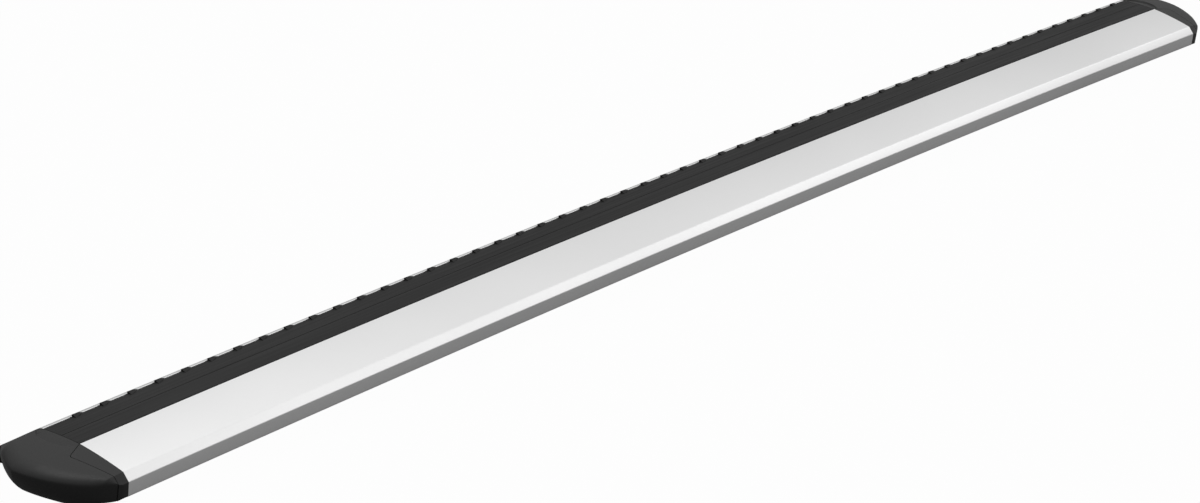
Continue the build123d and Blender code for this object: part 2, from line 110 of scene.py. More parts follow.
# The end caps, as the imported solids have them, apart from the curve of the lid's wall, which
# draws in a little more, and the scoop, which is a crescent
CAP_TIP_Y = 2.0
CAP_POWERS = (1.8, 1.26)
CAP_MARGIN = 0.3
CAP_WIDEST = 20.0
CAP_TOP_SCALE = 0.9
CAP_UNDER_DEPTH = 20.8
CAP_UNDER_POWER = 1.8
CAP_DROOP = 220.0
CAP_BAND = 6.5
CAP_GAP = 0.3
CAP_WALL = 2.2
EAR_POINT = (12.5, 17.0)
EAR_ENDS = (-36.7, 31.8)
HINGE = (9.4, 2.6)
HINGE_SWEEP = 2.6
HINGE_SWEEP_INSIDE = 0.25
LID_START = CAP_BAND + CAP_GAP
LUG_RADIUS = 2.2
LUG_REACH = 17.0
LID_LUG = (13.2, 15.7)
NOTCH_SIDES = (-13.2, -10.1, 10.1, 13.2)
NOTCH_OUT = 12.2
EAR_RADIUS = 1.5
PIN_HOLE = 1.05
SCOOP = (-14.0, 5.0, 200.0, 1.7)
SCOOP_FALL = 1.6
SCOOP_FLOOR = 1.2

# The lid's grid: rows of its top before and after the scoop's edge, of its rim, of its wall
# before and after the notches, and of its underside, and columns from rear to front
TOP_ROWS = (12, 30)
RIM_ROWS = 8
WALL_ROWS = (26, 8)
FOOT_ROWS = 4
LID_COLUMNS = 240

# The lid's rim: the weight of its conic, its reach over the top in radii, its radius at the
# wall's ends, how far out it is full, and its share on the inside of the lid
RIM_FULLNESS = 0.75
RIM_REACH = 2.0
RIM_LEAST = 0.4
RIM_FULL_OUT = 16.0
RIM_INSIDE = 0.3

# Limits that keep the grid's rows in order, as shares of the room that they lie in: the rim's
# on the top and on the wall, the scoop's edge, and the notch's
EASE_MOST = 0.6
DROP_MOST = 0.4
CREASE_LEAST, CREASE_MOST = 0.04, 0.7
NOTCH_SHARE = 0.62
NOTCH_LEFT = 0.08

# Rounds in which a height or an edge is found
HEIGHT_TURNS = 60
EDGE_TURNS = 40

# Degrees between faces at an edge that stays sharp
SHARP = 35.0
LID_SHARP = 30.0
WEDGE_SHARP = 20.0
PACKED_SHARP = 28.0


class CrossbarSizes(bpy.types.PropertyGroup):
    """Sizes of the bar that a user would change."""

    length: FloatProperty(
        name="Length",
        description="Aluminium from end to end, along its chord",
        default=1.08,
        min=0.5,
        unit="LENGTH",
    )
    rise: FloatProperty(
        name="Rise",
        description="Height of the bar's middle above its two ends",
        default=0.0045,
        min=0.0005,
        unit="LENGTH",
    )
    ground_gap: FloatProperty(
        name="Ground gap",
        description="Height of the aluminium's ends above the lowest point of the caps",
        default=0.00022,
        min=0.0,
        unit="LENGTH",
    )
    edge_radius: FloatProperty(
        name="Edge radius",
        description="Rounding of the extrusion's outer edges",
        default=0.0005,
        min=0.0,
        unit="LENGTH",
    )
    stations: IntProperty(
        name="Stations",
        description="Cross-sections along the arch",
        default=61,
        min=9,
    )
    wedge_pitch: FloatProperty(
        name="Wedge pitch",
        description="Distance from one raised wedge of the front strip to the next",
        default=0.02,
        min=0.012,
        unit="LENGTH",
    )
    wedge_length: FloatProperty(
        name="Wedge length",
        description="Length of a raised wedge along the bar",
        default=0.009,
        min=0.002,
        unit="LENGTH",
    )
    wedge_height: FloatProperty(
        name="Wedge height",
        description="How far a wedge stands above the edge of the slot",
        default=0.0013,
        min=0.0002,
        unit="LENGTH",
    )
    cap_length: FloatProperty(
        name="Cap length",
        description="How far each end cap stands out from the aluminium",
        default=0.0362,
        min=0.02,
        unit="LENGTH",
    )
    rim_radius: FloatProperty(
        name="Rim radius",
        description="Rounding of the lid's rim at its tip",
        default=0.0036,
        min=0.0003,
        unit="LENGTH",
    )


class CrossbarColours(bpy.types.PropertyGroup):
    """Colours of the finishes."""

    aluminium: FloatVectorProperty(
        name="Aluminium",
        description="Satin anodised aluminium of the extrusion",
        default=(0.77, 0.77, 0.77),
        subtype="COLOR",
        min=0.0,
        max=1.0,
    )
    rubber: FloatVectorProperty(
        name="Rubber",
        description="Rubber of the slot strips",
        default=(0.013, 0.013, 0.013),
        subtype="COLOR",
        min=0.0,
        max=1.0,
    )
    plastic: FloatVectorProperty(
        name="Cap plastic",
        description="Moulded plastic of the end caps",
        default=(0.006, 0.006, 0.006),
        subtype="COLOR",
        min=0.0,
        max=1.0,
    )
    steel: FloatVectorProperty(
        name="Steel",
        description="Hinge pins and screws",
        default=(0.55, 0.55, 0.56),
        subtype="COLOR",
        min=0.0,
        max=1.0,
    )
    floor: FloatVectorProperty(
        name="Floor",
        description="Pale floor under the bar, as it lights the bar",
        default=(0.19, 0.19, 0.19),
        subtype="COLOR",
        min=0.0,
        max=1.0,
    )


def arch_radius(sizes):
    """Radius of the circle through both ends and the middle: chord squared over 8 rises."""
    length, rise = sizes.length / MM, sizes.rise / MM
    return length**2 / (8 * rise) + rise / 2


def arch_point(sizes, angle, across, up):
    """Place in the row frame of a section point at this angle of the arch, in metres.

    The section turns about one far axis along Y: its distance from that axis is the arch's
    radius plus its height, so x is that distance times the sine, and z the distance times the
    cosine, less the axis's depth.
    """
    radius = arch_radius(sizes)
    reach = radius + up
    depth = radius - (sizes.rise + sizes.ground_gap) / MM
    x = reach * np.sin(angle)
    z = reach * np.cos(angle) - depth
    return np.stack(np.broadcast_arrays(x, across, z), axis=-1) * MM


def end_angle(sizes):
    """Half of the arch's angle."""
    return asin(sizes.length / MM / 2 / arch_radius(sizes))


def arc_points(start, end, tangent, steps):
    """Points of the circular arc that leaves start along tangent and passes through end.

    With d the chord and n the tangent's left normal, the centre lies |d|^2 / (2 d.n) along n
    from start, and the arc turns through twice the angle between tangent and chord. The first
    point is left out. Returned with it is the tangent at the end.
    """
    start, end = np.array(start, float), np.array(end, float)
    tangent = np.array(tangent, float) / np.hypot(*tangent)
    chord = end - start
    turn = 2 * np.arctan2(tangent[0] * chord[1] - tangent[1] * chord[0], tangent @ chord)
    share = np.linspace(0, 1, steps + 1)[1:, None]
    length = np.hypot(*chord)
    # The chord to a part of the arc is in proportion to the sine of half its turn
    size = length * np.sin(share * turn / 2) / sin(turn / 2)
    way = share * turn / 2
    points = start + size * np.hstack(
        [
            tangent[0] * np.cos(way) - tangent[1] * np.sin(way),
            tangent[0] * np.sin(way) + tangent[1] * np.cos(way),
        ]
    )
    last = (
        tangent[0] * cos(turn) - tangent[1] * sin(turn),
        tangent[0] * sin(turn) + tangent[1] * cos(turn),
    )
    return points, last


def crown_points(start, middle, end, steps):
    """Points of a shallow arc through three places: a parabola over the chord.

    The first point is left out.
    """
    start, middle, end = (np.array(place, float) for place in (start, middle, end))
    share = np.linspace(0, 1, steps + 1)[1:, None]
    bulge = middle - (start + end) / 2
    return start + share * (end - start) + 4 * share * (1 - share) * bulge


def eased(points, corners, steps=4):
    """The closed line with corners rounded off, each by a parabola between its two sides.

    A corner is the index of its point and how far back along its sides the rounding starts.
    """
    points = np.asarray(points)
    pieces, last = [], 0
    for corner, radius in corners:
        place = points[corner]
        before, after = points[corner - 1], points[(corner + 1) % len(points)]
        reach_in = min(radius, 0.45 * np.hypot(*(before - place)))
        reach_out = min(radius, 0.45 * np.hypot(*(after - place)))
        first = place + (before - place) / np.hypot(*(before - place)) * reach_in
        final = place + (after - place) / np.hypot(*(after - place)) * reach_out
        share = np.linspace(0, 1, steps + 1)[:, None]
        curve = (1 - share) ** 2 * first + 2 * share * (1 - share) * place + share**2 * final
        pieces += [points[last:corner], curve]
        last = corner + 1
    pieces.append(points[last:])
    return np.vstack(pieces)


def wing_sides(inset=0.0):
    """The wing's upper line from slot to rear face, its underside, and its front, as arrays."""
    slot_rear = (TRACK_Y - SLOT_HALF, SLOT_EDGE_Z - inset)
    slot_front = (TRACK_Y + SLOT_HALF, SLOT_EDGE_Z - inset)
    bevel_top = (BEVEL_TOP[0] + 0.6 * inset, BEVEL_TOP[1] - inset)
    bevel_foot = (BEVEL_FOOT[0] + inset, BEVEL_FOOT[1] - 0.4 * inset)
    rear_foot = (REAR_FOOT[0] + inset, REAR_FOOT[1] + inset)
    middle = (
        (slot_rear[0] + bevel_top[0]) / 2,
        (slot_rear[1] + bevel_top[1]) / 2 + REAR_CROWN,
    )
    flat_rear = (FLAT_REAR[0], inset)
    flat_front = (FLAT_FRONT[0], inset)
    belly = tuple(np.array(rear_foot) + BELLY_TURN * (np.array(flat_rear) - rear_foot))
    nose_under = (NOSE_UNDER[0] - 0.5 * inset, NOSE_UNDER[1] + 0.9 * inset)
    nose = (NOSE_TIP[0] - inset, NOSE_TIP[1])
    shoulder = (SHOULDER[0] - 0.6 * inset, SHOULDER[1] - 0.8 * inset)
    crest = (CREST[0] - 0.3 * inset, CREST[1] - inset)
    face = (crest[0] - shoulder[0], crest[1] - shoulder[1])
    rear = np.vstack([[slot_rear], crown_points(slot_rear, middle, bevel_top, 24), [bevel_foot]])
    first, way = arc_points(rear_foot, belly, (1, 0), 14)
    first = first[first[:, 0] > rear_foot[0] + REAR_CLEAR]
    second, way = arc_points(belly, flat_rear, way, 8)
    under = np.vstack([[rear_foot], first, second])
    third, way = arc_points(flat_front, nose_under, (1, 0), 10)
    fourth, way = arc_points(nose_under, nose, way, 8)
    fifth, way = arc_points(nose, shoulder, way, 8)
    sixth, way = arc_points(crest, slot_front, face, 6)
    front = np.vstack([[flat_front], third, fourth, fifth, [crest], sixth])
    return rear, under, front


def bar_loops(edge):
    """Closed lines of the bar's section: the outside with both tracks, then each hollow in it."""
    rear, under, front = wing_sides()
    foot = np.array(
        [
            (TRACK_Y - FOOT_SLOT_HALF, 0),
            (TRACK_Y - FOOT_SLOT_HALF, FOOT_LIP_Z),
            (TRACK_Y - FOOT_HALF, FOOT_LIP_Z),
            (TRACK_Y - FOOT_HALF, FOOT_ROOF_Z),
            (TRACK_Y + FOOT_HALF, FOOT_ROOF_Z),
            (TRACK_Y + FOOT_HALF, FOOT_LIP_Z),
            (TRACK_Y + FOOT_SLOT_HALF, FOOT_LIP_Z),
            (TRACK_Y + FOOT_SLOT_HALF, 0),
        ]
    )
    track = np.array(
        [
            (TRACK_Y + SLOT_HALF, LIP_Z),
            (TRACK_Y + TRACK_HALF, LIP_Z),
            (TRACK_Y + TRACK_HALF, TRACK_FLOOR_Z),
            (TRACK_Y - TRACK_HALF, TRACK_FLOOR_Z),
            (TRACK_Y - TRACK_HALF, LIP_Z),
            (TRACK_Y - SLOT_HALF, LIP_Z),
        ]
    )
    outside = np.vstack([rear, under, foot, front, track])
    at_under = len(rear)
    at_foot = at_under + len(under)
    at_front = at_foot + len(foot)
    at_track = at_front + len(front)
    corners = [
        (at_under - 2, edge),
        (at_under - 1, edge),
        (at_under, REAR_RADIUS),
        (at_foot, edge),
        (at_foot + 7, edge),
        (at_track - 1, edge),
    ]
    outside = eased(outside, corners)
    beam = np.array(
        [
            (TRACK_Y - FOOT_HALF, FOOT_ROOF_Z + FOOT_ROOF_SKIN),
            (TRACK_Y + FOOT_HALF, FOOT_ROOF_Z + FOOT_ROOF_SKIN),
            (TRACK_Y + FOOT_HALF, TRACK_FLOOR_Z - SKIN),
            (TRACK_Y - FOOT_HALF, TRACK_FLOOR_Z - SKIN),
        ]
    )
    return [outside, *chambers(), beam, *bores()]


def bores():
    """The two round screw ports."""
    turn = np.linspace(0, 2 * pi, 24, endpoint=False)
    ring = np.stack([np.cos(turn), np.sin(turn)], axis=1) * PORT_BORE
    return [ring + (TRACK_Y - PORT_OUT, PORT_Z), ring + (TRACK_Y + PORT_OUT, PORT_Z)]


def port_edge(side):
    """The chamber's line round one screw port: an arc bulging away from the box beam, from
    straight below the port's middle round to the side of the shelf."""
    turn = np.linspace(0, pi - asin((SHELF_HALF - PORT_OUT) / PORT_RADIUS), 15)
    across = TRACK_Y + side * (PORT_OUT + PORT_RADIUS * np.sin(turn))
    return np.stack([across, PORT_Z - PORT_RADIUS * np.cos(turn)], axis=1)


def chambers():
    """The hollow each side of the box beam: the wing moved in by the skin, less the beam,
    the shelf under the track and the screw port."""
    rear, under, front = wing_sides(SKIN)
    loops = []
    for side, top, foot in ((-1, rear, under), (1, front[::-1], np.empty((0, 2)))):
        beam_y = TRACK_Y + side * BEAM_HALF
        shelf_y = TRACK_Y + side * SHELF_HALF
        outwards = side * (top[:, 0] - shelf_y)
        first = np.argmax(outwards > 0)
        share = outwards[first - 1] / (outwards[first - 1] - outwards[first])
        start = top[first - 1] + share * (top[first] - top[first - 1])
        loop = [
            [start],
            top[first:],
            foot,
            [(beam_y, SKIN), (beam_y, PORT_Z - PORT_RADIUS)],
            port_edge(side),
        ]
        loops.append(np.vstack(loop))
    return loops


def new_piece(name, points, faces, finish, body, sharp=SHARP):
    """A piece from points in the row frame and its faces, smooth except at sharp edges."""
    mesh = bpy.data.meshes.new(name)
    mesh.from_pydata(np.asarray(points).reshape(-1, 3).tolist(), [], faces)
    mesh.polygons.foreach_set("use_smooth", np.ones(len(mesh.polygons), bool))
    mesh.materials.append(finish)
    piece = bpy.data.objects.new(name, mesh)
    bpy.context.scene.collection.objects.link(piece)
    turned_out(piece, sharp)
    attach(piece, body)
    return piece


def tube_faces(rows, columns, first=0):
    """Quads of a closed profile of this many columns, carried through this many rows."""
    row = np.arange(rows - 1)[:, None] * columns
    column = np.arange(columns)[None, :]
    after = (column + 1) % columns
    quads = np.stack([row + column, row + columns + column, row + columns + after, row + after], -1)
    return (first + quads.reshape(-1, 4)).tolist()


def swept(loops, place):
    """Points and faces of closed lines carried along a way, with both ends closed.

    place gives, for one line, its points at every station, as a grid of stations by points.
    The first line is the outside and the rest are hollows in it.
    """
    points, faces, firsts, lasts = [], [], [], []
    first = 0
    for loop in loops:
        grid = place(loop)
        stations = len(grid)
        points.append(grid.reshape(-1, 3))
        faces += tube_faces(stations, len(loop), first)
        firsts.append(first + np.arange(len(loop)))
        lasts.append(firsts[-1] + (stations - 1) * len(loop))
        first += grid.shape[0] * grid.shape[1]
    flat = [[(across, up, 0.0) for across, up in loop] for loop in loops]
    closing = np.array(tessellate_polygon(flat))
    faces += np.concatenate(firsts)[closing].tolist()
    faces += np.concatenate(lasts)[closing][:, ::-1].tolist()
    return np.vstack(points), faces


def along_bar(sizes, loops):
    """Points and faces of closed section lines carried along the whole arch.

    Every station holds the same section points, turned about the arch's far axis.
    """
    limit = end_angle(sizes)
    angles = np.linspace(-limit, limit, sizes.stations)[:, None]
    return swept(loops, lambda loop: arch_point(sizes, angles, loop[None, :, 0], loop[None, :, 1]))


def turned_out(piece, sharp=SHARP):
    """Merges corners that coincide, makes every face point outwards and marks sharp edges."""
    solid = bmesh.new()
    solid.from_mesh(piece.data)
    bmesh.ops.remove_doubles(solid, verts=solid.verts, dist=SAME_PLACE)
    bmesh.ops.dissolve_degenerate(solid, edges=solid.edges, dist=0.000001)
    bmesh.ops.recalc_face_normals(solid, faces=solid.faces)
    solid.to_mesh(piece.data)
    solid.free()
    piece.data.set_sharp_from_angle(angle=radians(sharp))


def set_range(node, *limits):
    """Sets where a range starts and ends, then what it is mapped to."""
    for name, limit in zip(("From Min", "From Max", "To Min", "To Max"), limits):
        node.inputs[name].default_value = limit


class Nodes:
    """A material's node tree with short ways to add and join nodes."""

    def __init__(self, name):
        self.material = bpy.data.materials.new(name)
        self.material.use_nodes = True
        self.tree = self.material.node_tree
        self.shader = self.tree.nodes["Principled BSDF"]
        self.place = self.add("ShaderNodeTexCoord").outputs["Object"]

    def add(self, kind, **settings):
        """A new node with these settings."""
        node = self.tree.nodes.new(kind)
        for name, value in settings.items():
            setattr(node, name, value)
        return node

    def join(self, source, target):
        """Links an output to an input."""
        self.tree.links.new(source, target)

    def stretched(self, scale):
        """Object coordinates scaled per axis."""
        mapping = self.add("ShaderNodeMapping")
        mapping.inputs["Scale"].default_value = scale
        self.join(self.place, mapping.inputs["Vector"])
        return mapping.outputs["Vector"]

    def noise(self, scale, detail=3.0, stretch=(1, 1, 1), roughness=0.5):
        """Noise over the piece, from 0 to 1."""
        node = self.add("ShaderNodeTexNoise")
        node.inputs["Scale"].default_value = scale
        node.inputs["Detail"].default_value = detail
        node.inputs["Roughness"].default_value = roughness
        self.join(self.stretched(stretch), node.inputs["Vector"])
        return node.outputs["Fac"]

    def spread(self, value, low, high, from_low=0.3, from_high=0.7):
        """The value mapped to lie between low and high."""
        node = self.add("ShaderNodeMapRange")
        set_range(node, from_low, from_high, low, high)
        self.join(value, node.inputs["Value"])
        return node.outputs["Result"]

    def tint(self, value, colour, low, high):
        """The colour, darker and lighter with the value."""
        node = self.add("ShaderNodeMix", data_type="RGBA")
        node.inputs["A"].default_value = (*[low * part for part in colour], 1)
        node.inputs["B"].default_value = (*[min(high * part, 1) for part in colour], 1)
        self.join(value, node.inputs["Factor"])
        self.join(node.outputs["Result"], self.shader.inputs["Base Color"])

    def bump(self, value, distance, strength=1.0):
        """Bump of this height in metres."""
        node = self.add("ShaderNodeBump")
        node.inputs["Distance"].default_value = distance
        node.inputs["Strength"].default_value = strength
        self.join(value, node.inputs["Height"])
        self.join(node.outputs["Normal"], self.shader.inputs["Normal"])


def satin_aluminium(colour):
    """Anodised extrusion: metal with faint drawing lines along the bar and a fine matt grain."""
    nodes = Nodes("satin_anodised_aluminium")
    nodes.shader.inputs["Metallic"].default_value = 1.0
    lines = nodes.noise(900.0, 2.0, (0.01, 1, 1))
    grain = nodes.noise(2500.0, 2.0)
    broad = nodes.noise(6.0, 2.0)
    nodes.tint(nodes.spread(broad, 0.0, 1.0), colour, 0.97, 1.03)
    nodes.join(nodes.spread(grain, 0.36, 0.44), nodes.shader.inputs["Roughness"])
    nodes.bump(lines, 0.000004, 0.6)
    return nodes.material


def strip_rubber(colour):
    """Extruded rubber: dark and dull, with faint lines along it and a slight bloom."""
    nodes = Nodes("drawn_rubber")
    lines = nodes.noise(700.0, 2.0, (0.01, 1, 1))
    broad = nodes.noise(14.0, 3.0, (0.4, 1, 1))
    nodes.tint(nodes.spread(broad, 0.0, 1.0), colour, 0.85, 1.2)
    nodes.join(nodes.spread(lines, 0.55, 0.68), nodes.shader.inputs["Roughness"])
    nodes.shader.inputs["Specular IOR Level"].default_value = 0.12
    nodes.bump(lines, 0.00001, 0.6)
    return nodes.material


def cap_plastic(colour):
    """Moulded plastic with a fine spark-eroded grain."""
    nodes = Nodes("moulded_cap_plastic")
    grain = nodes.noise(2600.0, 3.0)
    broad = nodes.noise(30.0, 2.0)
    nodes.tint(nodes.spread(broad, 0.0, 1.0), colour, 0.92, 1.08)
    nodes.join(nodes.spread(grain, 0.42, 0.56), nodes.shader.inputs["Roughness"])
    nodes.shader.inputs["Specular IOR Level"].default_value = 0.3
    nodes.bump(grain, 0.00002, 0.5)
    return nodes.material


def plain_steel(colour):
    """Zinc-plated steel of the pins and screws, with turning marks."""
    nodes = Nodes("turned_steel")
    nodes.shader.inputs["Metallic"].default_value = 1.0
    marks = nodes.noise(3000.0, 2.0, (1, 0.1, 1))
    nodes.tint(nodes.spread(marks, 0.0, 1.0), colour, 0.9, 1.1)
    nodes.join(nodes.spread(marks, 0.28, 0.42), nodes.shader.inputs["Roughness"])
    nodes.bump(marks, 0.00001, 0.5)
    return nodes.material


def material(name, make, colour):
    """The named material, made once."""
    return bpy.data.materials.get(name) or make(tuple(colour))


def finish_packed(node_name, finish):
    """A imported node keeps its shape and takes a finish, smooth between its sharp edges."""
    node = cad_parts[node_name]
    node.data.materials.clear()
    node.data.materials.append(finish)
    node.data.polygons.foreach_set("use_smooth", np.ones(len(node.data.polygons), bool))
    weld = node.modifiers.new("join corners", "WELD")
    weld.merge_threshold = SAME_PLACE
    split = node.modifiers.new("keep edges sharp", "EDGE_SPLIT")
    split.split_angle = radians(PACKED_SHARP)


class CROSSBAR_OT_extrusion(bpy.types.Operator):
    """Build the aluminium bar: its section carried along the arch"""

    bl_idname = "crossbar.extrusion"
    bl_label = "Aluminium Extrusion"

    def execute(self, context):
        sizes = context.scene.crossbar_sizes
        finish = material(
            "satin_anodised_aluminium", satin_aluminium, context.scene.crossbar_colours.aluminium
        )
        points, faces = along_bar(sizes, bar_loops(sizes.edge_radius / MM))
        piece = new_piece("aluminium_extrusion", points, faces, finish, "bar")
        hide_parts("bar_extrusion")
        return {"FINISHED"}


def strip_line(side):
    """Closed line of one top strip: a crowned flap eased at both edges, a stem and a foot.

    The flap follows the crown, a parabola that falls from the track's middle to the slot's
    edges, and stops short of the aluminium by a narrow groove.
    """
    groove, ease, slit = STRIP_GROOVE, STRIP_EASE, STRIP_SLIT
    share = np.linspace(0, 1, 15)
    out = slit + ease + share * (SLOT_HALF - groove - slit - 2 * ease)
    crown = BAR_TOP - (BAR_TOP - SLOT_EDGE_Z) * (out / SLOT_HALF) ** 2
    flap = np.stack([out, crown], axis=1)
    under = BAR_TOP - 2.2
    turn = np.linspace(0, pi / 2, 5)[1:]
    far = flap[-1] + np.stack([ease * np.sin(turn), ease * (np.cos(turn) - 1)], axis=1)
    near = flap[0] + np.stack([-ease * np.sin(turn), ease * (np.cos(turn) - 1)], axis=1)[::-1]
    stem = np.array(
        [
            (SLOT_HALF - groove, under + 0.4),
            (SLOT_HALF - 0.05, under),
            (SLOT_HALF - 0.05, LIP_Z - 0.05),
            (SLOT_HALF + 2.4, LIP_Z - 0.05),
            (SLOT_HALF + 2.4, LIP_Z - 0.9),
            (SLOT_HALF - 1.6, LIP_Z - 0.9),
            (SLOT_HALF - 1.6, under),
            (slit, under),
        ]
    )
    line = np.vstack([near, flap, far, stem])
    return np.stack([TRACK_Y + side * line[:, 0], line[:, 1]], axis=1)


def wedges(sizes):
    """Points and faces of the raised wedges along the front strip's outer edge.

    Each is an upright triangle across the strip, with a small undercut at its foot, drawn to a
    point further along the bar. The same few points stand at every pitch of the arch.
    """
    radius = arch_radius(sizes)
    pitch = sizes.wedge_pitch / MM
    count = int((sizes.length / MM - 2 * WEDGE_MARGIN) / pitch) + 1
    first = WEDGE_MARGIN / radius - end_angle(sizes)
    starts = first + np.arange(count) * pitch / radius
    edge = TRACK_Y + SLOT_HALF
    root, top = SLOT_EDGE_Z - 0.6, SLOT_EDGE_Z + sizes.wedge_height / MM
    length = sizes.wedge_length / MM
    # along the bar, across and up
    shape = np.array(
        [
            (0.5, edge, root),
            (0.0, edge, top - 0.25),
            (0.25, edge - 0.25, top),
            (0.3, edge - 3.0, SLOT_EDGE_Z + 0.2),
            (0.8, edge - 2.8, root),
            (0.55 * length, edge, top - 0.35),
            (0.5 * length, edge - 1.7, SLOT_EDGE_Z + 0.35),
            (length, edge - 0.1, root + 0.3),
        ]
    )
    faces = [
        (0, 1, 2, 3, 4),
        (1, 5, 2),
        (2, 5, 6),
        (2, 6, 3),
        (3, 6, 7),
        (3, 7, 4),
        (5, 7, 6),
        (0, 7, 5, 1),
        (0, 4, 7),
    ]
    angle = starts[:, None] + shape[None, :, 0] / radius
    points = arch_point(sizes, angle, shape[None, :, 1], shape[None, :, 2]).reshape(-1, 3)
    every = [
        tuple(index * len(shape) + corner for corner in face)
        for index in range(count)
        for face in faces
    ]
    return points, every


class CROSSBAR_OT_strips(bpy.types.Operator):
    """Build the two rubber strips over the track, with the raised wedges of the front one"""

    bl_idname = "crossbar.strips"
    bl_label = "Slot Strips"

    def execute(self, context):
        sizes = context.scene.crossbar_sizes
        finish = material("drawn_rubber", strip_rubber, context.scene.crossbar_colours.rubber)
        for name, side in (("rear_strip", -1), ("front_strip", 1)):
            points, faces = along_bar(sizes, [strip_line(side)])
            piece = new_piece(name, points, faces, finish, "bar")
            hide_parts(f"{name.split('_')[0]}_slot_strip")
        points, faces = wedges(sizes)
        piece = new_piece("front_strip_wedges", points, faces, finish, "bar", sharp=WEDGE_SHARP)
        finish_packed("underside_slot_strip", finish)
        return {"FINISHED"}


def cap_point(sizes, side, out, across, up):
    """Place in the row frame of a point of an end cap, in metres.

    The right cap stands on the bar's end plane: out along that plane's normal, across and up
    in it. The left cap is its mirror image in x.
    """
    angle, radius = end_angle(sizes), arch_radius(sizes)
    depth = radius - (sizes.rise + sizes.ground_gap) / MM
    x = (radius + up) * sin(angle) + out * cos(angle)
    z = (radius + up) * cos(angle) - out * sin(angle) - depth
    return np.stack(np.broadcast_arrays(side * x, across, z), axis=-1) * MM


def wing_heights(inset, across):
    """Heights of the wing's top and of its underside at these places across it."""
    rear, under, front = wing_sides(inset)
    at_under = len(rear)
    foot_radius = max(REAR_RADIUS - inset, 0.1)
    corners = [(at_under - 2, 0.4), (at_under - 1, 0.4), (at_under, foot_radius)]
    line = eased(np.vstack([rear, under, front]), corners)
    rear_face = np.flatnonzero(line[:, 0] < line[:, 0].min() + 0.001)
    nose = np.argmax(line[:, 0])
    share = np.linspace(-1, 1, 25)[1:-1]
    crown = [TRACK_Y + SLOT_HALF * share, BAR_TOP - inset - (BAR_TOP - SLOT_EDGE_Z) * share**2]
    top = np.vstack([line[rear_face[0] :: -1], np.transpose(crown), line[: nose - 1 : -1]])
    bottom = line[rear_face[-1] : nose + 1]
    return np.interp(across, *top.T), np.interp(across, *bottom.T)


def drooped(level, out):
    """Height over the cap of a section's height: it turns about a far axis under the end."""
    foot = CAP_DROOP - BAR_TOP
    return np.sqrt((foot + level) ** 2 - out**2) - foot


def wall_share(up, inset):
    """How far the cap's wall stands out at this height, of its widest reach.

    Above the widest height it draws in with the square of the rise, and below it follows a
    quarter of a superellipse.
    """
    rise = (up - CAP_WIDEST) / (BAR_TOP - CAP_WIDEST)
    fall = (CAP_WIDEST - up) / (CAP_UNDER_DEPTH - inset)
    above = 1 - (1 - CAP_TOP_SCALE) * rise**2
    below = np.maximum(1 - np.abs(fall) ** CAP_UNDER_POWER, 0.01) ** (1 / CAP_UNDER_POWER)
    return np.where(up > CAP_WIDEST, above, below)


def share_fall(share):
    """How far under the widest height the wall has this share of its reach, of its depth."""
    return (1 - np.minimum(share, 1) ** CAP_UNDER_POWER) ** (1 / CAP_UNDER_POWER)


def wall_line(inset, front):
    """Power of the wall's superellipse towards rear or front, and its half width."""
    half = np.where(front, NOSE_Y - CAP_TIP_Y, CAP_TIP_Y - REAR_Y) + CAP_MARGIN - inset
    return np.where(front, CAP_POWERS[1], CAP_POWERS[0]), half


def wall_point(sizes, inset, place, up):
    """The lid's wall at this height and place: out, then across.

    Its plan is two quarters of a superellipse that meet at the tip. The place runs from -1 at
    the rear end of the wall through 0 at the tip to 1 at its front end, where the wall
    comes to the band of the base.
    """
    power, half = wall_line(inset, place > 0)
    reach = (sizes.cap_length / MM - inset) * wall_share(up, inset)
    least = np.arcsin(np.minimum(LID_START / reach, 1) ** (power / 2))
    way = 1 - np.abs(place)
    turn = np.clip(way * pi / 2 + least * (1 - way) ** 2, least, pi / 2)
    out = reach * np.sin(turn) ** (2 / power)
    return out, CAP_TIP_Y + np.sign(place) * half * np.abs(np.cos(turn)) ** (2 / power)


def wall_end(sizes, inset, place, level):
    """Where the wall meets the top (level 0) or the underside (level 1): out, across, up.

    The height there is found by turns: the wall at a height, then the skin's height over it.
    """
    out, across = wall_point(sizes, inset, place, np.full(place.shape, CAP_WIDEST))
    for _ in range(HEIGHT_TURNS):
        up = drooped(wing_heights(inset, across)[level], out)
        out, across = wall_point(sizes, inset, place, up)
    return out, across, up


def lid_start(across):
    """Where the lid's top begins, going outwards: at the bar, or past an ear by the gap."""
    start = np.full(across.shape, CAP_GAP)
    for side, end in zip((-1, 1), EAR_ENDS):
        ear = np.array([(SLOT_HALF, 0), EAR_POINT[::-1], (side * (end - TRACK_Y), CAP_BAND)])
        (first, second) = np.diff(ear, axis=0)
        turn = np.arccos(first @ second / np.hypot(*first) / np.hypot(*second))
        ear = eased(ear, [(1, EAR_RADIUS * tan(turn / 2))], 8)
        way = np.gradient(ear, axis=0)
        way /= np.hypot(*way.T)[:, None]
        ear = ear + CAP_GAP * np.stack([-way[:, 1], way[:, 0]], axis=1)
        beside = side * (across - TRACK_Y)
        past_ear = np.where(beside > ear[-1, 0], LID_START, np.interp(beside, *ear.T))
        start = np.where(beside > 0, np.maximum(past_ear, CAP_GAP), start)
    return start


def scoop_height(out, across):
    """Height of the large sphere that meets the lid's top along the finger scoop's edge."""
    centre_out, centre_across, radius, depth = SCOOP
    away = (out - centre_out) ** 2 + (across - centre_across) ** 2
    return BAR_TOP - depth + radius - np.sqrt(radius**2 - away)


def scoop_depth(out, start, edge):
    """Depth of the finger scoop under the lid's top, between the lid's start and its edge.

    It falls steeply inside its edge, as a parabola, and its floor rises evenly to the start.
    """
    fall = 1 - (1 - np.clip((edge - out) / SCOOP_FALL, 0, 1)) ** 2
    length = np.maximum(edge - start, 0.001)
    depth = np.minimum(SCOOP_FLOOR, 0.2 * length)
    return depth * fall * np.clip((out - start) / length, 0, 1)


